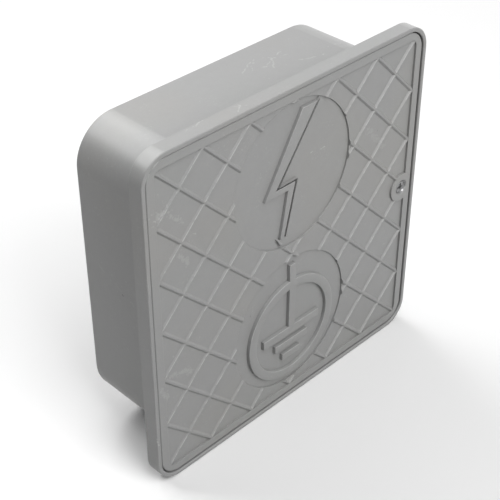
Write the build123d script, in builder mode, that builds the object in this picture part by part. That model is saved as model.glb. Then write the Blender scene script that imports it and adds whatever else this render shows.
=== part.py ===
from build123d import *
import os

# Flush-mounting plastic junction box with a ribbed square lid, in millimetres.
# +X runs to the right along the lid, +Y into the wall, +Z up.
# The origin is the middle of the back face, and heights are measured forwards from that face.

# Flange, rim and tray
frame_side = 230.0
frame_corner = 17.0
frame_depth = 10.4
frame_edge_chamfer = 0.5
rim_width = 2.75
rim_edge_chamfer = 0.4
tray_floor = 2.6

# Body behind the flange
box_depth = 75.0
body_side = 200.3
body_corner = 27.6
body_draft = 0.2
body_wall = 2.6
body_edge_round = 2.0
back_wall = 3.0
cavity_floor_chamfer = 1.5

# Fixing holes in the back, countersunk from inside
fixing_spacing = 150.0
fixing_hole_radius = 2.6
fixing_sink_radius = 4.8
fixing_pad_radius = 8.0
fixing_pad_height = 1.6

# Knock-outs in the bottom wall
knockout_count = 3
knockout_spacing = 56.0
knockout_height = 33.0
knockout_radius = 14.0
knockout_groove = 1.2
knockout_skin = 0.8

# Lid
lid_gap = 0.7
lid_set_back = 0.8
lid_edge_chamfer = 0.6
lid_plate = 2.4
border_width = 5.8
recess_corner = 4.5
recess_depth = 1.35
skirt_width = 3.0

# Lattice of slanting ribs in the lid's recess
lattice_cells = 6
lattice_rib_base = 3.2
lattice_rib_height = 1.2
lattice_rib_taper = 42.0
lattice_rib_bite = 2.5

# Two plain round fields that interrupt the lattice
field_radius = 48.6
field_depth = 1.0
field_heights = (55.8, -52.6)

# Stiffening ribs under the lid
stiffener_clearance = 11.55
stiffener_spacing = 57.0
stiffener_thickness = 1.6
stiffener_height = 4.0

# Tongues on the lid's left edge and their pockets in the rim
tongue_spacing = 120.0
tongue_length = 30.0
tongue_thickness = 1.4
tongue_bite = 1.3
pocket_lip = 1.1
pocket_play = 0.3
pocket_tail = 1.1

# Seal
gasket_width = 2.4
gasket_thickness = 1.6
seal_gap = 0.3

# Screw, its pad, washer and insert
screw_inset = 9.05
screw_head_radius = 4.7
screw_head_land = 0.3
screw_head_sink = 0.2
screw_seat_gap = 0.15
screw_shank_radius = 2.15
screw_bite = 5.5
screw_tip = 0.6
screw_lid_play = 0.55
cross_width = 1.1
cross_length = 5.2
cross_depth = 1.8
cross_taper = 8.0
pad_radius = 10.1
lid_boss_radius = 6.4
washer_radius = 4.2
washer_thickness = 0.8
washer_play = 0.05
washer_gap = 0.3
insert_radius = 3.5
insert_bore_radius = 2.5
insert_length = 8.0
insert_groove = 0.4
insert_play = 0.05
boss_radius = 6.2
boss_floor = 2.0
boss_tip_room = 3.0

# Levels above the back face
frame_back_level = box_depth - frame_depth
tray_level = frame_back_level + tray_floor
lid_front_level = box_depth - lid_set_back
lattice_level = lid_front_level - recess_depth
field_level = lattice_level - field_depth
lid_back_level = lattice_level - lid_plate
skirt_level = tray_level + gasket_thickness + seal_gap
tongue_front_level = box_depth - pocket_lip - pocket_play
head_front_level = lid_front_level - screw_head_sink
screw_tip_level = tray_level - screw_bite
insert_back_level = tray_level - insert_length
boss_back_level = insert_back_level - boss_tip_room - boss_floor

# Outlines that follow one another
opening_side = frame_side - 2 * rim_width
opening_corner = frame_corner - rim_width
lid_side = opening_side - 2 * lid_gap
lid_corner = opening_corner - lid_gap
recess_side = lid_side - 2 * border_width
lattice_pitch = recess_side / lattice_cells
cavity_side = body_side - 2 * body_wall
cavity_corner = body_corner - body_wall
gasket_inset = (skirt_width - gasket_width) / 2
screw_x = lid_side / 2 - screw_inset
stiffener_reach = cavity_side / 2 - stiffener_clearance


def level(height):
    """The plane that faces the viewer at a height above the back face."""
    return Plane.XZ.offset(height)


def on_screw_axis(height):
    """The plane that faces the viewer, centred on the screw."""
    return Plane(origin=(screw_x, -height, 0), x_dir=(1, 0, 0), z_dir=(0, -1, 0))


def edges_at(part, height):
    """Every edge that lies flat at a height above the back face."""
    return part.edges().filter_by_position(Axis.Y, -height, -height)


screw_line = Axis((screw_x, 0, 0), (0, 1, 0))
screw_section = Plane(origin=(screw_x, 0, 0), x_dir=(1, 0, 0), z_dir=(0, 0, 1))


def rib_lines():
    """Offset, middle and length of each rib that runs at 45 degrees across the square recess."""
    for step in range(1 - lattice_cells, lattice_cells):
        offset = step * lattice_pitch
        length = (recess_side - abs(offset)) * 2**0.5 + 2 * lattice_rib_bite
        yield offset / 2, length


# Box: body, flange, rim and tray in one moulding
with BuildPart() as box_shell:
    with BuildSketch(level(0)):
        RectangleRounded(body_side, body_side, body_corner)
    extrude(amount=frame_back_level, taper=-body_draft)
    fillet(edges_at(box_shell, 0), body_edge_round)

    with BuildSketch(level(frame_back_level)):
        RectangleRounded(frame_side, frame_side, frame_corner)
    extrude(amount=frame_depth)
    flange_back = box_shell.faces().filter_by_position(Axis.Y, -frame_back_level, -frame_back_level)[0]
    chamfer(flange_back.outer_wire().edges(), frame_edge_chamfer)

    # Boss behind the flange for the lid screw's insert
    with BuildSketch(on_screw_axis(boss_back_level)):
        Circle(boss_radius)
    extrude(amount=tray_level - boss_back_level)

    # Tray that the lid drops into
    with BuildSketch(level(tray_level)):
        RectangleRounded(opening_side, opening_side, opening_corner)
    extrude(amount=box_depth - tray_level, mode=Mode.SUBTRACT)
    chamfer(edges_at(box_shell, box_depth), rim_edge_chamfer)

    # Cavity
    with BuildSketch(level(back_wall)):
        RectangleRounded(cavity_side, cavity_side, cavity_corner)
    extrude(amount=tray_level - back_wall, taper=-body_draft, mode=Mode.SUBTRACT)
    chamfer(edges_at(box_shell, back_wall), cavity_floor_chamfer)

    # Blind hole for the insert, with room for the screw's tip
    with BuildSketch(on_screw_axis(insert_back_level)):
        Circle(insert_radius + insert_play)
    extrude(amount=insert_length, mode=Mode.SUBTRACT)
    with BuildSketch(on_screw_axis(insert_back_level - boss_tip_room)):
        Circle(insert_bore_radius)
    extrude(amount=boss_tip_room, mode=Mode.SUBTRACT)

    # Fixing holes through pads on the back wall
    with BuildSketch(level(back_wall)):
        with GridLocations(fixing_spacing, fixing_spacing, 2, 2):
            Circle(fixing_pad_radius)
    extrude(amount=fixing_pad_height)
    with Locations(level(back_wall + fixing_pad_height)):
        with GridLocations(fixing_spacing, fixing_spacing, 2, 2):
            CounterSinkHole(fixing_hole_radius, fixing_sink_radius)

    # Knock-outs: ring grooves that leave a thin skin in the bottom wall
    bottom_face = Plane(
        origin=(0, -knockout_height, -body_side / 2 - body_wall),
        x_dir=(1, 0, 0),
        z_dir=(0, 0, 1),
    )
    with BuildSketch(bottom_face):
        with GridLocations(knockout_spacing, 0, knockout_count, 1):
            Circle(knockout_radius)
            Circle(knockout_radius - knockout_groove, mode=Mode.SUBTRACT)
    extrude(amount=2 * body_wall - knockout_skin, mode=Mode.SUBTRACT)

    # Pockets in the left rim for the lid's tongues
    with BuildSketch(level(box_depth - pocket_lip)):
        with Locations((-opening_side / 2 + lid_gap, 0)):
            with GridLocations(0, tongue_spacing, 1, 2):
                Rectangle(
                    2 * (tongue_bite + pocket_play + lid_gap),
                    tongue_length + 2 * pocket_play,
                )
    extrude(amount=-(tongue_thickness + pocket_play + pocket_tail), mode=Mode.SUBTRACT)

# Lid: plate, skirt, lattice, fields, screw pad and tongues in one moulding
with BuildPart() as lid:
    with BuildSketch(level(lid_back_level)):
        RectangleRounded(lid_side, lid_side, lid_corner)
    extrude(amount=lid_front_level - lid_back_level)
    chamfer(edges_at(lid, lid_front_level), lid_edge_chamfer)
    with BuildSketch(level(skirt_level)):
        RectangleRounded(lid_side, lid_side, lid_corner)
        offset(amount=-skirt_width, mode=Mode.SUBTRACT)
    extrude(amount=lid_back_level - skirt_level)

    # Stiffening ribs underneath
    with BuildSketch(level(lid_back_level)):
        with GridLocations(0, stiffener_spacing, 1, 4):
            Rectangle(2 * stiffener_reach, stiffener_thickness)
        with GridLocations(stiffener_spacing, 0, 4, 1):
            Rectangle(stiffener_thickness, 2 * stiffener_reach)
    extrude(amount=-stiffener_height)

    # Tongues on the left edge
    with BuildSketch(level(tongue_front_level)):
        with Locations((-lid_side / 2, 0)):
            with GridLocations(0, tongue_spacing, 1, 2):
                Rectangle(2 * (tongue_bite + lid_gap), tongue_length)
    extrude(amount=-tongue_thickness)

    # Recess and its lattice
    with BuildSketch(level(lattice_level)):
        RectangleRounded(recess_side, recess_side, recess_corner)
    extrude(amount=recess_depth, mode=Mode.SUBTRACT)
    for slope in (1, -1):
        with BuildSketch(level(lattice_level)):
            for middle, length in rib_lines():
                with Locations((middle, -slope * middle)):
                    Rectangle(length, lattice_rib_base, rotation=45 * slope)
        extrude(amount=lattice_rib_height, taper=lattice_rib_taper)

    # Plain round fields, cut a little below the lattice floor
    with BuildSketch(level(field_level)):
        with Locations(*[(0, height) for height in field_heights]):
            Circle(field_radius)
    extrude(amount=lid_front_level - field_level, mode=Mode.SUBTRACT)

    # Pad and boss round the screw
    with BuildSketch(level(lattice_level)):
        with Locations((screw_x, 0)):
            Circle(pad_radius)
        RectangleRounded(recess_side, recess_side, recess_corner, mode=Mode.INTERSECT)
    extrude(amount=recess_depth)
    with BuildSketch(on_screw_axis(skirt_level)):
        Circle(lid_boss_radius)
    extrude(amount=lid_back_level - skirt_level)
    with Locations(on_screw_axis(lid_front_level)):
        CounterSinkHole(
            screw_shank_radius + screw_lid_play,
            screw_head_radius + screw_head_land + screw_head_sink + screw_seat_gap,
            counter_sink_angle=90,
        )

# Seal in the tray, under the lid's skirt
with BuildPart() as lid_gasket:
    with BuildSketch(level(tray_level)):
        RectangleRounded(
            lid_side - 2 * gasket_inset,
            lid_side - 2 * gasket_inset,
            lid_corner - gasket_inset,
        )
        offset(amount=-gasket_width, mode=Mode.SUBTRACT)
    extrude(amount=gasket_thickness)

# Countersunk screw with a cross recess
with BuildPart() as lid_screw:
    with BuildSketch(screw_section):
        with BuildLine():
            Polyline(
                (0, -head_front_level),
                (screw_head_radius, -head_front_level),
                (screw_head_radius, -(head_front_level - screw_head_land)),
                (
                    screw_shank_radius,
                    -(head_front_level - screw_head_land - screw_head_radius + screw_shank_radius),
                ),
                (screw_shank_radius, -(screw_tip_level + screw_tip)),
                (screw_shank_radius - screw_tip, -screw_tip_level),
                (0, -screw_tip_level),
                close=True,
            )
        make_face()
    revolve(axis=screw_line)
    with BuildSketch(on_screw_axis(head_front_level)):
        Rectangle(cross_length, cross_width)
        Rectangle(cross_width, cross_length)
    extrude(amount=-cross_depth, taper=cross_taper, mode=Mode.SUBTRACT)

# Washer that keeps the undone screw in the lid
with BuildPart() as screw_retainer:
    with BuildSketch(on_screw_axis(skirt_level - washer_gap)):
        Circle(washer_radius)
        Circle(screw_shank_radius + washer_play, mode=Mode.SUBTRACT)
    extrude(amount=-washer_thickness)

# Brass insert, with two grooves that lock it in the boss
with BuildPart() as threaded_insert:
    with BuildSketch(on_screw_axis(insert_back_level)):
        Circle(insert_radius)
        Circle(insert_bore_radius, mode=Mode.SUBTRACT)
    extrude(amount=insert_length)
    for share in (1 / 3, 2 / 3):
        groove_level = insert_back_level + share * insert_length - insert_groove
        with BuildSketch(on_screw_axis(groove_level)):
            Circle(insert_radius)
            Circle(insert_radius - insert_groove, mode=Mode.SUBTRACT)
        extrude(amount=2 * insert_groove, mode=Mode.SUBTRACT)

box_shell.part.label = "box_shell"
lid.part.label = "lid"
lid_gasket.part.label = "lid_gasket"
lid_screw.part.label = "lid_screw"
screw_retainer.part.label = "screw_retainer"
threaded_insert.part.label = "threaded_insert"

os.makedirs("parts", exist_ok=True)
for piece in (box_shell, lid, lid_gasket, lid_screw, screw_retainer, threaded_insert):
    export_step(piece.part, f"parts/{piece.part.label}.step")
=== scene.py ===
import math

import bmesh
import bpy
from mathutils import Matrix, Vector


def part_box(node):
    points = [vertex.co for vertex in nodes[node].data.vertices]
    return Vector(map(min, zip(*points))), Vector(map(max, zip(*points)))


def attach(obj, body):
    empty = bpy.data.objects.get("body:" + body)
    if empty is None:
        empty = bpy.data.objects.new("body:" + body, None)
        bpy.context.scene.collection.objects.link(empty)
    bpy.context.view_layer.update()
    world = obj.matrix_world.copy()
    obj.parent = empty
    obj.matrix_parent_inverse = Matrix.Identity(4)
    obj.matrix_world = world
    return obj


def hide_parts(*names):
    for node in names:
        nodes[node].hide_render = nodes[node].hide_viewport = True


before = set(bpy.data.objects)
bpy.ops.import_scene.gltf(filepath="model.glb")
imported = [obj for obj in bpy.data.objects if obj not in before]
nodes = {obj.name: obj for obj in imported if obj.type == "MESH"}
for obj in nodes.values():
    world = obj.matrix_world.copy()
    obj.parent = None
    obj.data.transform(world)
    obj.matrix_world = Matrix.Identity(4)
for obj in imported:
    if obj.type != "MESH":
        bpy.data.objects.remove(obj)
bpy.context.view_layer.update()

MM = 0.001

# How far the round fields' floor lies behind the lid's front, and the studio floor below the flange
FIELD_SINK = 2.35 * MM
FLOOR_GAP = 0.2 * MM

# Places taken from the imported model
box_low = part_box("box_shell")[0]
lid_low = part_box("lid")[0]
screw_low, screw_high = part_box("lid_screw")
SCREW_X = (screw_low.x + screw_high.x) / 2
SCREW_Z = (screw_low.z + screw_high.z) / 2
SCREW_RADIUS = (screw_high.z - screw_low.z) / 2
SCREW_FRONT_Y = screw_low.y
SCREW_TIP_Y = screw_high.y
FIELD_FLOOR_Y = lid_low.y + FIELD_SINK
FLOOR_LEVEL = box_low.z - FLOOR_GAP

# Camera, set from the photograph's edge lines
CAMERA_PLACE = Vector((-0.43394, -0.47133, 0.43514))
CAMERA_RIGHT = Vector((0.70310795, -0.71107862, 0.00253175))
CAMERA_UP = Vector((0.41431722, 0.41256145, 0.81125476))
CAMERA_LENS = 87.15
CAMERA_SHIFT = (-0.0154, -0.0242)
CAMERA_NEAR = 0.05

# Light: each lamp is (name, direction from the box, distance, width, height, power)
SKY_LEVEL = 0.015
LAMPS = (
    ("lamp_back", (-0.08, 0.57, 0.66), 1.5, 1.5, 0.4, 15.2),
    ("lamp_back_left", (-0.47, 0.57, 0.67), 1.5, 0.3, 0.3, 1.9),
    ("lamp_back_top", (0.3, 0.4, 0.9), 0.9, 0.7, 0.7, 1.6),
    ("lamp_above", (-0.1, -0.4, 0.9), 1.6, 0.8, 0.8, 8.7),
    ("lamp_front", (0.0, -1.0, 0.6), 1.5, 1.2, 1.2, 16.9),
    ("lamp_right", (1.0, 0.25, 0.2), 1.5, 1.0, 1.0, 2.2),
)

# Floor: its colour where it is seen, its colour where it only lights the box, and where it fades to white
FLOOR_COLOUR = (0.95, 0.95, 0.95, 1)
FLOOR_BOUNCE = (0.36, 0.36, 0.36, 1)
FLOOR_SIZE = 14.0
FLOOR_FADE = (0.3, 0.9)
FLOOR_ROUGHNESS = 0.9
FLOOR_SPECULAR = 0.1

# Moulded plastic: greys of the body and the lid, the slight tints that drift over them, its wear, and the
# painted shade and painted highlights laid over it
BODY_GREY = (0.290, 0.290, 0.289)
LID_GREY = (0.288, 0.288, 0.286)
WARM_TINT = (1.008, 1.0, 0.982)
WARM_SIZE = 70 * MM
GREEN_TINT = (0.995, 1.003, 0.996)
GREEN_SIZE = 55 * MM
PLASTIC_ROUGHNESS = 0.4
PLASTIC_IOR = 1.5
MOTTLE_SIZE = 5 * MM
MOTTLE_RANGE = ((0.96, 0.96, 0.96), (1.04, 1.04, 1.04))
GRAIN_SIZE = 1.3 * MM
GRAIN_RANGE = ((0.965, 0.965, 0.965), (1.035, 1.035, 1.035))
GRAIN_DEPTH = 0.006 * MM
WAVE_SIZE = 24 * MM
WAVE_DEPTH = 0.06 * MM
SCUFF_DEPTH = 0.01 * MM
SPECK_SIZE = 1.5 * MM
SPECK_PATCH = 24 * MM
SPECK_STRENGTH = 0.22
EDGE_ROUND = 0.4 * MM
EDGE_SAMPLES = 8
# Painted highlight: how much paler the rounded upper corners are painted
CORNER_HIGHLIGHT_TINT = (1.08, 1.08, 1.08)
# Colour of the scuffs, specks, dust and burrs, also used for the painted highlights on ribs and sign edges
SCUFF_AND_HIGHLIGHT_COLOUR = (0.46, 0.46, 0.455)
STAIN_COLOUR = (0.16, 0.16, 0.16)
# Painted shade in the hollows: its colour, how far it reaches, its strength and its samples
HOLLOW_SHADE_COLOUR = (0.1, 0.1, 0.098)
HOLLOW_SHADE_REACH = 1.8 * MM
HOLLOW_SHADE_STRENGTH = 0.32
HOLLOW_SHADE_SAMPLES = 6
RIB_TOP_Y = -73.75 * MM
# Painted highlight on the ribs' upper left shoulders
RIB_HIGHLIGHT = 0.75
# Painted highlight on the signs' rounded edges
SIGN_HIGHLIGHT = 0.9

# How a stroke is drawn: its core and reach as shares of its width, how it frays and how it wanders
STROKE_CORE = 0.45
STROKE_REACH = 1.1
STROKE_FRAY = 2.0
DUST_FRAY = 3.2
BURR_FRAY = 1.6
RAGGED_SIZE = 1.4 * MM
WANDER_SIZE = 6 * MM
WANDER_REACH = 3.5 * MM

# Marks of handling, each as (start, end, width, strength), in millimetres on the moulding's surface
BODY_SCUFFS = (
    ((8, -24, 100.3), (24, -15, 100.3), 0.8, 0.5),
    ((12, -27, 100.3), (22, -17, 100.3), 0.6, 0.4),
    ((20, -28, 100.3), (47, -18, 100.3), 0.8, 0.5),
    ((26, -31, 100.3), (34, -22, 100.3), 0.9, 0.4),
    ((30, -19, 100.3), (44, -26, 100.3), 0.6, 0.4),
    ((44, -35, 100.3), (61, -42, 100.3), 0.8, 0.5),
    ((66, -35, 100.3), (79, -38, 100.3), 0.7, 0.45),
    ((-37, -66, 115), (-44, -73, 115), 0.9, 0.55),
    ((-35, -71, 115), (-42, -66, 115), 0.6, 0.4),
    ((-78, -67, 115), (-62, -66, 115), 0.9, 0.5),
    ((-84, -17, 94), (-90, -32, 90), 0.9, 0.35),
    ((-80, -24, 96), (-84, -46, 94), 0.9, 0.4),
    ((-86, -40, 92), (-93, -57, 87), 0.8, 0.35),
    ((-100.3, -2, 17), (-100.3, -44, -1), 0.5, 0.35),
    ((-100.3, -50, 46), (-100.3, -58, 40), 0.5, 0.25),
    ((-115, -69, 9), (-115, -71, 15), 0.8, 0.6),
    ((-114.6, -75, -81), (-115, -74.6, -75), 0.9, 0.6),
    ((-100.3, -20, -40), (-100.3, -31, -44), 0.5, 0.2),
)
BODY_STAINS = (
    ((-100.3, -33.6, 2.2), (-100.3, -34.6, 1.8), 0.9, 0.8),
    ((-86, -27, 92), (-86.4, -28, 91.7), 0.7, 0.5),
    ((-30, -52, 100.3), (-30.4, -52.3, 100.3), 0.6, 0.6),
)
LID_SCUFFS = (
    ((-109.5, -74.2, 80), (-106, -74.2, 77), 0.9, 0.5),
    ((-108, -74.2, 75), (-107, -74.2, 81), 0.7, 0.4),
    ((-102.5, -74, 91), (-97, -74, 80), 1.2, 0.4),
    ((-83, -72.9, 53.2), (-77, -72.9, 53.6), 0.5, 0.6),
    ((28, -71.9, 62.9), (12, -71.9, 63.6), 0.4, 0.8),
    ((-60, -72.9, -42), (-52, -72.9, -47), 0.5, 0.3),
    ((-98, -72.9, -20), (-95, -72.9, -29), 0.5, 0.3),
    ((62, -72.9, -96), (70, -72.9, -93), 0.5, 0.3),
)
LID_DUST = (
    ((-99, -72.9, -36), (-85, -72.9, -41), 3.2, 0.28),
    ((-109, -72.9, -40), (-104, -72.9, -51), 2.8, 0.3),
    ((-89, -72.9, 45), (-84, -72.9, 37), 2.6, 0.26),
    ((-108, -72.9, 80), (-96, -72.9, 75), 2.4, 0.36),
    ((-96, -72.9, 75), (-87, -72.9, 66), 2.2, 0.3),
    ((66, -72.9, 58), (82, -72.9, 40), 3.0, 0.2),
)
LID_STAINS = (
    ((-34, -71.9, -30), (-34.3, -71.9, -30.4), 0.6, 0.5),
    ((76, -72.9, 54), (76.3, -72.9, 53.5), 0.6, 0.5),
)

# Burrs that the mould left along the lid's edges, in the same form
LID_BURRS = (
    ((38, -72.9, 25.6), (31.2, -72.9, 18.6), 0.5, 0.55),
    ((31.2, -72.9, 18.6), (24.3, -72.9, 13.7), 0.5, 0.5),
    ((-16, -72.9, 10), (-6, -72.9, 7.6), 0.4, 0.3),
    ((-20, -72.9, 100.1), (-12, -72.9, 103), 0.6, 0.5),
    ((-44, -72.9, -73), (-40, -72.9, -80.2), 0.4, 0.3),
    ((20, -72.9, -8.3), (10, -72.9, -5), 0.5, 0.4),
    ((60, -72.9, -105.6), (-60, -72.9, -105.6), 0.35, 0.3),
    ((-7.5, -73.5, 104.5), (-1, -73.5, 105.4), 0.8, 0.8),
    ((-3, -73.5, -105.2), (2, -73.5, -104.3), 0.8, 0.8),
    ((-8, -73, 6.5), (-3, -73, 3), 0.7, 0.6),
)

# Small parts: the two colours that each drifts between, and its roughness
RUBBER_COLOURS = ((0.018, 0.018, 0.019), (0.034, 0.034, 0.034))
RUBBER_DUST = (0.09, 0.088, 0.085)
RUBBER_ROUGHNESS = 0.62
NYLON_COLOURS = ((0.6, 0.585, 0.54), (0.7, 0.69, 0.655))
NYLON_ROUGHNESS = 0.35
BRASS_COLOURS = ((0.62, 0.45, 0.2), (0.42, 0.31, 0.16))
BRASS_ROUGHNESS = 0.32
STEEL_COLOURS = ((0.27, 0.27, 0.272), (0.17, 0.17, 0.172))
STEEL_ROUGHNESS = 0.36

# Relief on the lid's round fields: heights and edges in metres, outlines as (x, z) in millimetres
SIGN_FOOT = 0.3 * MM
SIGN_DRAFT = 0.15 * MM
SIGN_EDGE = 0.3 * MM
EDGE_STEPS = 3
FLASH_HEIGHT = 2.0 * MM
EARTH_HEIGHT = 2.4 * MM
FLASH = (
    (5.3, 98.3), (-24.7, 47.7), (-5.3, 47.7), (-11.3, 15.1),
    (-7.9, 16.3), (0.9, 51.7), (-15.5, 51.7), (17.7, 98.3),
)
FLASH_RIGHT_SIDE = slice(4, 8)
EARTH_CENTRE = (0.3, -58.4)
EARTH_OUTER = 38.0
EARTH_INNER = 31.6
EARTH_STEM = 5.5
EARTH_STEM_TOP = -8.0
# Each bar is (top, bottom, reach to either side)
EARTH_BARS = ((-56.4, -62.6, 25.0), (-66.5, -72.0, 14.6), (-76.1, -81.2, 8.1))
ARC_STEPS = 96

# A thin lip just outside the flash's right side, and a stub that the mould left below its foot
LIP_GAP = 0.75
LIP_WIDTH = 0.55
FOOT_STUB = ((-13.8, 16.0), (-11.0, 10.4), (-9.4, 11.8), (-12.3, 15.8))

# Cross-head screw
HEAD_LAND = 0.3 * MM
HEAD_EDGE = 0.15 * MM
HEAD_RIM = 0.35 * MM
DISH_DEPTH = 0.75 * MM
DISH_WALL = 0.45 * MM
SHANK_RADIUS = 2.15 * MM
THREAD_PITCH = 0.7 * MM
THREAD_DEPTH = 0.35 * MM
THREAD_LENGTH = 6.5 * MM
THREAD_TURN_STEPS = 40
THREAD_PITCH_STEPS = 8
# Reach and half width of the cross's arms
CROSS_TOP = (2.7 * MM, 0.65 * MM)
CROSS_BOTTOM = (1.0 * MM, 0.4 * MM)
CROSS_DEPTH = 1.9 * MM
CROSS_CORNER = 0.45 * MM
CROSS_OVERCUT = 0.3 * MM

# Angles in degrees past which an edge stays sharp
SIGN_SHARP = 40
SCREW_SHARP = 35


def new_object(name, mesh):
    """Links a mesh to the scene under a plain name."""
    obj = bpy.data.objects.new(name, mesh)
    bpy.context.scene.collection.objects.link(obj)
    return obj


def finish_mesh(bm, name, sharp_degrees):
    """Turns a bmesh into an object with outward faces, smooth up to the given angle."""
    bmesh.ops.recalc_face_normals(bm, faces=bm.faces)
    mesh = bpy.data.meshes.new(name)
    bm.to_mesh(mesh)
    bm.free()
    mesh.polygons.foreach_set("use_smooth", [True] * len(mesh.polygons))
    mesh.set_sharp_from_angle(angle=math.radians(sharp_degrees))
    return new_object(name, mesh)


def inset(loop, distance):
    """Moves a closed loop of (x, z) points to its own left by a distance, with mitred corners."""
    moved = []
    for i, point in enumerate(loop):
        before = Vector(point) - Vector(loop[i - 1])
        after = Vector(loop[(i + 1) % len(loop)]) - Vector(point)
        side = Vector((-before.y, before.x)).normalized() + Vector((-after.y, after.x)).normalized()
        moved.append(tuple(Vector(point) + side * (2 * distance / side.length_squared)))
    return moved


def skin(bm, rows):
    """Joins closed rows of as many vertices each by a band of four-sided faces."""
    count = len(rows[0])
    for low, high in zip(rows, rows[1:]):
        for i in range(count):
            j = (i + 1) % count
            bm.faces.new((low[i], low[j], high[j], high[i]))


def quarter_turns():
    """The angles at which a rounded edge is stepped."""
    return [math.pi / 2 * i / EDGE_STEPS for i in range(1, EDGE_STEPS + 1)]


def raised(name, shapes, height):
    """A moulded relief with drafted sides and rounded edges.

    Each shape is its outer loop and any hole loops, in metres, with the material on the left of each."""
    steps = [(0.0, -SIGN_FOOT), (SIGN_DRAFT, height - SIGN_EDGE)]
    for turn in quarter_turns():
        distance = SIGN_DRAFT + SIGN_EDGE * (1 - math.cos(turn))
        steps.append((distance, height - SIGN_EDGE * (1 - math.sin(turn))))
    bm = bmesh.new()
    for loops in shapes:
        ends = ([], [])
        for loop in loops:
            rows = []
            for distance, level in steps:
                rows.append([bm.verts.new((x, FIELD_FLOOR_Y - level, z)) for x, z in inset(loop, distance)])
            skin(bm, rows)
            for end, row in zip(ends, (rows[0], rows[-1])):
                for i, vertex in enumerate(row):
                    end.append(bm.edges.get((vertex, row[(i + 1) % len(row)])))
        for end in ends:
            bmesh.ops.triangle_fill(bm, use_beauty=True, edges=end)
    return finish_mesh(bm, name, SIGN_SHARP)


def arc(centre, radius, start, end, steps):
    """Points of an arc in the lid's plane, from one angle in degrees to another."""
    points = []
    for i in range(steps + 1):
        turn = math.radians(start + (end - start) * i / steps)
        points.append((centre[0] + radius * math.cos(turn), centre[1] + radius * math.sin(turn)))
    return points


def in_metres(loop):
    """The points of a loop, turned from millimetres to metres."""
    return [(x * MM, z * MM) for x, z in loop]


def earth_sign():
    """The protective earth sign: a ring, a stem and three bars."""
    half = EARTH_STEM / 2
    outer_gap = math.degrees(math.asin(half / EARTH_OUTER))
    inner_gap = math.degrees(math.asin(half / EARTH_INNER))
    outer = arc(EARTH_CENTRE, EARTH_OUTER, 90 + outer_gap, 450 - outer_gap, ARC_STEPS)
    outer += [(half, EARTH_STEM_TOP), (-half, EARTH_STEM_TOP)]
    top, bottom, reach = EARTH_BARS[0]
    inner = arc(EARTH_CENTRE, EARTH_INNER, 90 - inner_gap, -270 + inner_gap, ARC_STEPS)
    inner += [(-half, top), (-reach, top), (-reach, bottom), (reach, bottom), (reach, top), (half, top)]
    shapes = [[in_metres(outer), in_metres(inner)]]
    for top, bottom, reach in EARTH_BARS[1:]:
        shapes.append([in_metres([(-reach, top), (-reach, bottom), (reach, bottom), (reach, top)])])
    return raised("sign_earth", shapes, EARTH_HEIGHT)


def flash_sign():
    """A plain lightning flash, with a thin lip along its right side and a stub below its foot."""
    near = inset(FLASH, -LIP_GAP)[FLASH_RIGHT_SIDE]
    far = inset(FLASH, -LIP_GAP - LIP_WIDTH)[FLASH_RIGHT_SIDE]
    shapes = [[in_metres(loop)] for loop in (FLASH, far + near[::-1], FOOT_STUB)]
    return raised("sign_flash", shapes, FLASH_HEIGHT)


def screw_radius(base, depth, turn):
    """Radius of the screw at a depth behind the head's face.

    A V thread near the tip fades out towards the head."""
    length = SCREW_TIP_Y - SCREW_FRONT_Y
    run = depth - (length - THREAD_LENGTH)
    if run <= 0:
        return base
    phase = (depth / THREAD_PITCH - turn / (2 * math.pi)) % 1
    fade = min(run / THREAD_PITCH, 1)
    return base - THREAD_DEPTH * fade * abs(2 * phase - 1)


def screw_body():
    """The screw without its cross: a dished countersunk head, a shank and a thread, turned about its axis."""
    length = SCREW_TIP_Y - SCREW_FRONT_Y
    rim = SCREW_RADIUS - HEAD_EDGE - HEAD_RIM
    rings = [(rim - DISH_WALL, DISH_DEPTH), (rim, 0.0), (SCREW_RADIUS - HEAD_EDGE, 0.0)]
    for turn in quarter_turns():
        rings.append((SCREW_RADIUS - HEAD_EDGE * (1 - math.sin(turn)), HEAD_EDGE * (1 - math.cos(turn))))
    rings.append((SCREW_RADIUS, HEAD_LAND))
    rings.append((SHANK_RADIUS, HEAD_LAND + SCREW_RADIUS - SHANK_RADIUS))
    step = THREAD_PITCH / THREAD_PITCH_STEPS
    depth = length - THREAD_LENGTH
    while depth < length - 1.5 * THREAD_DEPTH:
        rings.append((SHANK_RADIUS, depth))
        depth += step
    rings.append((SHANK_RADIUS - 2 * THREAD_DEPTH, length))
    bm = bmesh.new()
    rows = []
    for radius, depth in rings:
        row = []
        for i in range(THREAD_TURN_STEPS):
            turn = 2 * math.pi * i / THREAD_TURN_STEPS
            at = screw_radius(radius, depth, turn) if depth < length else radius
            x = SCREW_X + at * math.cos(turn)
            z = SCREW_Z + at * math.sin(turn)
            row.append(bm.verts.new((x, SCREW_FRONT_Y + depth, z)))
        rows.append(row)
    skin(bm, rows)
    bm.faces.new(rows[0])
    bm.faces.new(rows[-1])
    return finish_mesh(bm, "screw", SCREW_SHARP)


def cross_loop(reach, half_width):
    """Outline of a cross whose inner corners are cut off at 45 degrees, as (across, up) points."""
    near = half_width + CROSS_CORNER * half_width / CROSS_TOP[1]
    loop = []
    for quarter in range(4):
        turn = math.pi / 2 * quarter
        for x, z in ((reach, -half_width), (reach, half_width), (near, half_width), (half_width, near)):
            loop.append((x * math.cos(turn) - z * math.sin(turn), x * math.sin(turn) + z * math.cos(turn)))
    return loop


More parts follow.
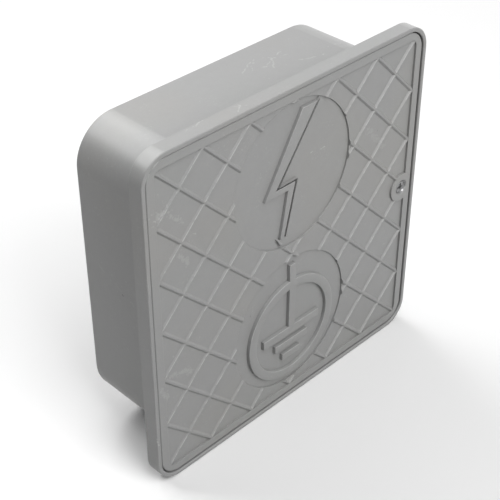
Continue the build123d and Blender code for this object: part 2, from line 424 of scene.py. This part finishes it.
def cross_cutter():
    """The solid that the cross recess is cut with: four arms that narrow and draw in towards the bottom."""
    slope = [(top - bottom) / CROSS_DEPTH for top, bottom in zip(CROSS_TOP, CROSS_BOTTOM)]
    bm = bmesh.new()
    rows = []
    for depth in (-CROSS_OVERCUT, 0.0, CROSS_DEPTH):
        reach, half_width = (top - depth * rate for top, rate in zip(CROSS_TOP, slope))
        row = []
        for x, z in cross_loop(reach, half_width):
            row.append(bm.verts.new((SCREW_X + x, SCREW_FRONT_Y + DISH_DEPTH + depth, SCREW_Z + z)))
        rows.append(row)
    skin(bm, rows)
    bm.faces.new(rows[0])
    bm.faces.new(rows[-1])
    return finish_mesh(bm, "cross_cutter", SCREW_SHARP)


def screw_piece():
    """The finished screw, with its cross recess cut into the head."""
    screw = screw_body()
    cutter = cross_cutter()
    cut = screw.modifiers.new("cross", "BOOLEAN")
    cut.object = cutter
    cut.operation = "DIFFERENCE"
    cut.solver = "EXACT"
    mesh = bpy.data.meshes.new_from_object(screw.evaluated_get(bpy.context.evaluated_depsgraph_get()))
    screw.modifiers.clear()
    screw.data = mesh
    mesh.set_sharp_from_angle(angle=math.radians(SCREW_SHARP))
    bpy.data.objects.remove(cutter)
    return screw


def add_camera():
    """The photograph's viewing angle."""
    camera = bpy.data.objects.new("camera", bpy.data.cameras.new("camera"))
    bpy.context.scene.collection.objects.link(camera)
    axes = Matrix((CAMERA_RIGHT, CAMERA_UP, CAMERA_RIGHT.cross(CAMERA_UP))).transposed()
    camera.matrix_world = Matrix.Translation(CAMERA_PLACE) @ axes.to_4x4()
    camera.data.lens = CAMERA_LENS
    camera.data.shift_x, camera.data.shift_y = CAMERA_SHIFT
    camera.data.clip_start = CAMERA_NEAR
    bpy.context.scene.camera = camera


def add_lamps():
    """Large soft lamps that face the box."""
    for name, direction, distance, width, height, power in LAMPS:
        data = bpy.data.lights.new(name, "AREA")
        data.shape = "RECTANGLE"
        data.size, data.size_y = width, height
        data.energy = power
        lamp = bpy.data.objects.new(name, data)
        bpy.context.scene.collection.objects.link(lamp)
        place = Vector(direction).normalized() * distance
        lamp.matrix_world = Matrix.Translation(place) @ place.to_track_quat("Z", "Y").to_matrix().to_4x4()


def seen_directly(tree):
    """The rays that show the background itself: the camera's, and those in glossy and clear surfaces."""
    path = tree.nodes.new("ShaderNodeLightPath")
    seen = path.outputs["Is Camera Ray"]
    for ray in ("Is Glossy Ray", "Is Transmission Ray"):
        either = tree.nodes.new("ShaderNodeMath")
        either.operation = "MAXIMUM"
        tree.links.new(seen, either.inputs[0])
        tree.links.new(path.outputs[ray], either.inputs[1])
        seen = either.outputs[0]
    return seen


def add_world():
    """A plain sky that looks white where it is seen and lights the box softly."""
    world = bpy.data.worlds.new("sky")
    bpy.context.scene.world = world
    world.use_nodes = True
    tree = world.node_tree
    tree.nodes.clear()
    mix = tree.nodes.new("ShaderNodeMixShader")
    tree.links.new(seen_directly(tree), mix.inputs[0])
    for socket, level in ((1, SKY_LEVEL), (2, 1.0)):
        light = tree.nodes.new("ShaderNodeBackground")
        light.inputs["Color"].default_value = (1, 1, 1, 1)
        light.inputs["Strength"].default_value = level
        tree.links.new(light.outputs[0], mix.inputs[socket])
    out = tree.nodes.new("ShaderNodeOutputWorld")
    tree.links.new(mix.outputs[0], out.inputs[0])


def floor_finish():
    """Pale where it is seen, darker where it only lights the box, white far away and clear from below."""
    material = bpy.data.materials.new("floor")
    material.use_nodes = True
    tree = material.node_tree
    seen = seen_directly(tree)
    shader = tree.nodes["Principled BSDF"]
    shader.inputs["Roughness"].default_value = FLOOR_ROUGHNESS
    shader.inputs["Specular IOR Level"].default_value = FLOOR_SPECULAR
    colour = tree.nodes.new("ShaderNodeMix")
    colour.data_type = "RGBA"
    colour.inputs[6].default_value = FLOOR_BOUNCE
    colour.inputs[7].default_value = FLOOR_COLOUR
    tree.links.new(seen, colour.inputs[0])
    tree.links.new(colour.outputs[2], shader.inputs["Base Color"])

    distance = tree.nodes.new("ShaderNodeVectorMath")
    distance.operation = "LENGTH"
    tree.links.new(tree.nodes.new("ShaderNodeTexCoord").outputs["Object"], distance.inputs[0])
    fade = tree.nodes.new("ShaderNodeMapRange")
    fade.interpolation_type = "SMOOTHSTEP"
    fade.inputs["From Min"].default_value, fade.inputs["From Max"].default_value = FLOOR_FADE
    tree.links.new(distance.outputs["Value"], fade.inputs["Value"])
    far = tree.nodes.new("ShaderNodeMath")
    far.operation = "MULTIPLY"
    tree.links.new(fade.outputs[0], far.inputs[0])
    tree.links.new(seen, far.inputs[1])
    white = tree.nodes.new("ShaderNodeEmission")
    paler = tree.nodes.new("ShaderNodeMixShader")
    tree.links.new(far.outputs[0], paler.inputs[0])
    tree.links.new(shader.outputs[0], paler.inputs[1])
    tree.links.new(white.outputs[0], paler.inputs[2])
    one_sided = tree.nodes.new("ShaderNodeMixShader")
    tree.links.new(tree.nodes.new("ShaderNodeNewGeometry").outputs["Backfacing"], one_sided.inputs[0])
    tree.links.new(paler.outputs[0], one_sided.inputs[1])
    tree.links.new(tree.nodes.new("ShaderNodeBsdfTransparent").outputs[0], one_sided.inputs[2])
    tree.links.new(one_sided.outputs[0], tree.nodes["Material Output"].inputs["Surface"])
    return material


def add_floor():
    """A plain floor just under the flange."""
    half = FLOOR_SIZE / 2
    corners = ((-half, -half), (half, -half), (half, half), (-half, half))
    mesh = bpy.data.meshes.new("floor")
    mesh.from_pydata([(x, y, FLOOR_LEVEL) for x, y in corners], [], [(0, 1, 2, 3)])
    floor = new_object("floor", mesh)
    floor.data.materials.append(floor_finish())


class Finish:
    """A material in the making, with short calls for the nodes that its surface is built from."""

    def __init__(self, name, roughness, metallic=0.0):
        self.material = bpy.data.materials.new(name)
        self.material.use_nodes = True
        self.nodes = self.material.node_tree.nodes
        self.shader = self.nodes["Principled BSDF"]
        self.shader.inputs["Roughness"].default_value = roughness
        self.shader.inputs["Metallic"].default_value = metallic
        self.coordinates = self.nodes.new("ShaderNodeTexCoord")
        self.place = self.coordinates.outputs["Object"]
        self.rounded = None

    def feed(self, socket, value):
        """Gives a socket a constant or another node's output."""
        if isinstance(value, bpy.types.NodeSocket):
            self.material.node_tree.links.new(value, socket)
        elif socket.type == "RGBA":
            socket.default_value = (*value, 1)
        else:
            socket.default_value = value

    def math(self, operation, *values):
        """Works out one number from others."""
        node = self.nodes.new("ShaderNodeMath")
        node.operation = operation
        for socket, value in zip(node.inputs, values):
            self.feed(socket, value)
        return node.outputs[0]

    def vector(self, operation, first, second=None, output=0):
        """Works out a vector, or with output 1 a number, from vectors."""
        node = self.nodes.new("ShaderNodeVectorMath")
        node.operation = operation
        self.feed(node.inputs[0], first)
        if second is not None:
            self.feed(node.inputs[3 if operation == "SCALE" else 1], second)
        return node.outputs[output]

    def ramp(self, value, low, high, start=0.0, end=1.0):
        """Goes smoothly from start to end while a value goes from low to high."""
        node = self.nodes.new("ShaderNodeMapRange")
        node.interpolation_type = "SMOOTHSTEP"
        for socket, number in zip(node.inputs, (value, low, high, start, end)):
            self.feed(socket, number)
        return node.outputs[0]

    def noise(self, size, detail=2.0, shift=0.0, stretch=(1.0, 1.0, 1.0), output=0):
        """Cloudy noise from 0 to 1, with features of about the given size in metres.

        Output 1 is a noise in 3-D."""
        moved = self.nodes.new("ShaderNodeMapping")
        self.feed(moved.inputs["Vector"], self.place)
        moved.inputs["Location"].default_value = (shift, shift, shift)
        moved.inputs["Scale"].default_value = stretch
        node = self.nodes.new("ShaderNodeTexNoise")
        node.inputs["Scale"].default_value = 1 / size
        node.inputs["Detail"].default_value = detail
        self.feed(node.inputs["Vector"], moved.outputs[0])
        return node.outputs[output]

    def blend(self, share, first, second, kind="MIX"):
        """Mixes two colours."""
        node = self.nodes.new("ShaderNodeMix")
        node.data_type = "RGBA"
        node.blend_type = kind
        self.feed(node.inputs[0], share)
        self.feed(node.inputs[6], first)
        self.feed(node.inputs[7], second)
        return node.outputs[2]

    def bumps(self, *layers):
        """Fine relief: each layer is (height from 0 to 1, depth in metres)."""
        last = self.rounded
        for height, depth in layers:
            node = self.nodes.new("ShaderNodeBump")
            node.inputs["Strength"].default_value = 1.0
            node.inputs["Distance"].default_value = depth
            self.feed(node.inputs["Height"], height)
            if last is not None:
                self.feed(node.inputs["Normal"], last)
            last = node.outputs[0]
        self.feed(self.shader.inputs["Normal"], last)

    def round_edges(self, radius):
        """Lets light catch the sharp edges as if they were slightly rounded."""
        node = self.nodes.new("ShaderNodeBevel")
        node.samples = EDGE_SAMPLES
        node.inputs["Radius"].default_value = radius
        self.rounded = node.outputs[0]

    def shaken(self, size, reach):
        """The surface's coordinates, pushed about by a noise so that straight strokes wander."""
        push = self.vector("SUBTRACT", self.noise(size, 3.0, 6.6, output=1), (0.5, 0.5, 0.5))
        return self.vector("ADD", self.place, self.vector("SCALE", push, 2 * reach))

    def marks(self, strokes, place, ragged, fray=STROKE_FRAY):
        """Soft strokes on the surface, from 0 to their strength, frayed by a ragged noise."""
        total = 0.0
        for start, end, width, strength in strokes:
            first = Vector(start) * MM
            along = Vector(end) * MM - first
            offset = self.vector("SUBTRACT", place, tuple(first))
            share = self.vector("DOT_PRODUCT", offset, tuple(along / along.length_squared), output=1)
            share = self.math("MINIMUM", self.math("MAXIMUM", share, 0.0), 1.0)
            nearest = self.vector("SCALE", tuple(along), share)
            away = self.vector("DISTANCE", offset, nearest, output=1)
            away = self.math("MULTIPLY_ADD", ragged, fray * width * MM, away)
            stroke = self.ramp(away, STROKE_CORE * width * MM, STROKE_REACH * width * MM, strength, 0.0)
            total = self.math("MAXIMUM", total, stroke)
        return total


def tinted(look, grey, mottle, grain):
    """A plain grey with a drifting tint, faint mottling and fine grain."""
    colour = look.blend(look.ramp(look.noise(WARM_SIZE, 1.0), 0.42, 0.68), (1, 1, 1), WARM_TINT)
    drift = look.ramp(look.noise(GREEN_SIZE, 1.0, 3.7), 0.45, 0.7)
    colour = look.blend(drift, colour, GREEN_TINT, "MULTIPLY")
    colour = look.blend(1.0, colour, grey, "MULTIPLY")
    colour = look.blend(1.0, colour, look.blend(mottle, *MOTTLE_RANGE), "MULTIPLY")
    return look.blend(1.0, colour, look.blend(grain, *GRAIN_RANGE), "MULTIPLY")


def painted_corner_highlight(look, colour, normal):
    """The colour with the rounded upper corners painted a little paler, as a painted highlight."""
    corner = look.math("ABSOLUTE", look.math("MULTIPLY", normal.outputs[0], normal.outputs[2]))
    corner = look.math("MULTIPLY", look.ramp(corner, 0.03, 0.09), look.ramp(normal.outputs[2], 0.55, 0.75))
    return look.blend(corner, colour, look.blend(1.0, colour, CORNER_HIGHLIGHT_TINT, "MULTIPLY"))


def specks(look):
    """Fine pale specks in a few loose patches."""
    patches = look.ramp(look.noise(SPECK_PATCH, 2.0, 9.4), 0.52, 0.66)
    fine = look.ramp(look.noise(SPECK_SIZE, 4.0, 8.3), 0.58, 0.7, 0.0, SPECK_STRENGTH)
    return look.math("MULTIPLY", patches, fine)


def hollow_shade(look):
    """Painted shade: a darker colour in the inner corners, where ambient occlusion finds hollows."""
    hollow = look.nodes.new("ShaderNodeAmbientOcclusion")
    hollow.samples = HOLLOW_SHADE_SAMPLES
    hollow.inputs["Distance"].default_value = HOLLOW_SHADE_REACH
    return look.ramp(hollow.outputs["AO"], 0.35, 0.85, HOLLOW_SHADE_STRENGTH, 0.0)


def plastic(name, grey, scuffs, stains, dust=(), burrs=(), painted_highlight=None):
    """Satin moulded plastic with marks of handling, painted shade in its hollows and a painted highlight on
    its rounded upper corners.

    painted_highlight, if given, works out from 0 to 1 where this moulding gets a painted highlight on its own
    edges."""
    look = Finish(name, PLASTIC_ROUGHNESS)
    look.shader.inputs["IOR"].default_value = PLASTIC_IOR
    mottle = look.noise(MOTTLE_SIZE, 3.0, 1.3)
    grain = look.noise(GRAIN_SIZE, 2.0)
    normal = look.nodes.new("ShaderNodeSeparateXYZ")
    look.feed(normal.inputs[0], look.coordinates.outputs["Normal"])
    # Painted highlight: the rounded upper corners are painted paler
    colour = painted_corner_highlight(look, tinted(look, grey, mottle, grain), normal)

    ragged = look.math("SUBTRACT", look.noise(RAGGED_SIZE, 5.0, 5.1), 0.42)
    shaken = look.shaken(WANDER_SIZE, WANDER_REACH)
    pale = look.math("MAXIMUM", look.marks(scuffs, shaken, ragged), specks(look))
    if dust:
        pale = look.math("MAXIMUM", pale, look.marks(dust, shaken, ragged, DUST_FRAY))
    if burrs:
        pale = look.math("MAXIMUM", pale, look.marks(burrs, look.place, ragged, BURR_FRAY))
    # Painted highlight on the edges that this moulding picks out
    if painted_highlight:
        pale = look.math("MAXIMUM", pale, painted_highlight(look, normal))
    # The real pale marks and the painted highlights share one colour
    colour = look.blend(pale, colour, SCUFF_AND_HIGHLIGHT_COLOUR)
    colour = look.blend(look.marks(stains, shaken, ragged), colour, STAIN_COLOUR)
    # Painted shade darkens the inner corners
    look.feed(look.shader.inputs["Base Color"], look.blend(hollow_shade(look), colour, HOLLOW_SHADE_COLOUR))

    rough = look.math("MULTIPLY_ADD", mottle, 0.08, PLASTIC_ROUGHNESS - 0.04)
    look.feed(look.shader.inputs["Roughness"], look.math("MULTIPLY_ADD", pale, 0.2, rough))
    look.round_edges(EDGE_ROUND)
    wave = look.noise(WAVE_SIZE, 1.0, 2.2)
    look.bumps((wave, WAVE_DEPTH), (grain, GRAIN_DEPTH), (pale, SCUFF_DEPTH))
    return look.material


def rib_highlight(look, normal):
    """Painted highlight on the upper left shoulders of the rising ribs, in patches."""
    place = look.nodes.new("ShaderNodeSeparateXYZ")
    look.feed(place.inputs[0], look.place)
    high = look.ramp(place.outputs[1], RIB_TOP_Y - 0.1 * MM, RIB_TOP_Y + 0.15 * MM, 1.0, 0.0)
    facing = look.ramp(look.math("MULTIPLY", normal.outputs[0], normal.outputs[2]), -0.2, -0.1, 1.0, 0.0)
    patchy = look.ramp(look.noise(4 * MM, 5.0, 7.7), 0.42, 0.58, 0.1, RIB_HIGHLIGHT)
    return look.math("MULTIPLY", look.math("MULTIPLY", high, facing), patchy)


def sign_edge_highlight(look, normal):
    """Painted highlight on the rounded upper edges of the signs."""
    steep = look.math("ABSOLUTE", normal.outputs[1])
    edge = look.math("MULTIPLY", look.ramp(steep, 0.2, 0.5), look.ramp(steep, 0.85, 0.99, 1.0, 0.0))
    return look.math("MULTIPLY", edge, look.ramp(look.noise(6 * MM, 4.0, 7.7), 0.3, 0.6, 0.15, SIGN_HIGHLIGHT))


def rubber(name):
    """Dark sealing rubber with a dusty bloom."""
    look = Finish(name, RUBBER_ROUGHNESS)
    bloom = look.noise(6 * MM, 4.0)
    dust = look.ramp(look.noise(0.8 * MM, 3.0, 2.0), 0.6, 0.75, 0.0, 0.3)
    colour = look.blend(dust, look.blend(bloom, *RUBBER_COLOURS), RUBBER_DUST)
    look.feed(look.shader.inputs["Base Color"], colour)
    look.feed(look.shader.inputs["Roughness"], look.math("MULTIPLY_ADD", bloom, 0.15, RUBBER_ROUGHNESS))
    look.bumps((bloom, 0.03 * MM), (look.noise(0.5 * MM, 3.0), 0.02 * MM))
    return look.material


def nylon(name):
    """Milky nylon with a soft sheen of moulding."""
    look = Finish(name, NYLON_ROUGHNESS)
    look.shader.inputs["Subsurface Weight"].default_value = 0.15
    look.shader.inputs["Subsurface Scale"].default_value = 0.5 * MM
    cloud = look.noise(3 * MM, 3.0)
    look.feed(look.shader.inputs["Base Color"], look.blend(cloud, *NYLON_COLOURS))
    look.feed(look.shader.inputs["Roughness"], look.math("MULTIPLY_ADD", cloud, 0.15, NYLON_ROUGHNESS))
    look.bumps((look.noise(0.4 * MM, 2.0), 0.01 * MM))
    return look.material


def metal(name, colours, roughness):
    """Plated or turned metal: turning marks, a dull film and small nicks."""
    look = Finish(name, roughness, 1.0)
    film = look.ramp(look.noise(2.2 * MM, 4.0), 0.4, 0.7)
    turning = look.noise(0.25 * MM, 2.0, 1.0, (0.3, 3.0, 0.3))
    nicks = look.ramp(look.noise(0.6 * MM, 3.0, 4.0), 0.66, 0.72)
    look.feed(look.shader.inputs["Base Color"], look.blend(film, *colours))
    rough = look.math("MULTIPLY_ADD", film, 0.15, roughness - 0.05)
    look.feed(look.shader.inputs["Roughness"], look.math("MULTIPLY_ADD", nicks, 0.1, rough))
    look.bumps((turning, 0.008 * MM), (nicks, 0.02 * MM))
    return look.material


def dress(obj, material):
    """Gives every face of a piece one material."""
    obj.data.materials.clear()
    obj.data.materials.append(material)


bpy.context.scene.view_settings.view_transform = "Standard"
add_camera()
add_world()
add_lamps()
add_floor()

# The ribs' upper left shoulders get a painted highlight
lid_plastic = plastic("lid_plastic", LID_GREY, LID_SCUFFS, LID_STAINS, LID_DUST, LID_BURRS, rib_highlight)
# The signs' rounded edges get a painted highlight
sign_plastic = plastic("sign_plastic", LID_GREY, LID_SCUFFS, LID_STAINS, painted_highlight=sign_edge_highlight)
dress(nodes["box_shell"], plastic("box_plastic", BODY_GREY, BODY_SCUFFS, BODY_STAINS))
dress(nodes["lid"], lid_plastic)
dress(nodes["lid_gasket"], rubber("seal_rubber"))
dress(nodes["screw_retainer"], nylon("washer_nylon"))
dress(nodes["threaded_insert"], metal("insert_brass", BRASS_COLOURS, BRASS_ROUGHNESS))

for sign in (flash_sign(), earth_sign()):
    dress(sign, sign_plastic)
    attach(sign, "cover")

screw = screw_piece()
dress(screw, metal("screw_steel", STEEL_COLOURS, STEEL_ROUGHNESS))
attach(screw, "screw")
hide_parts("lid_screw")
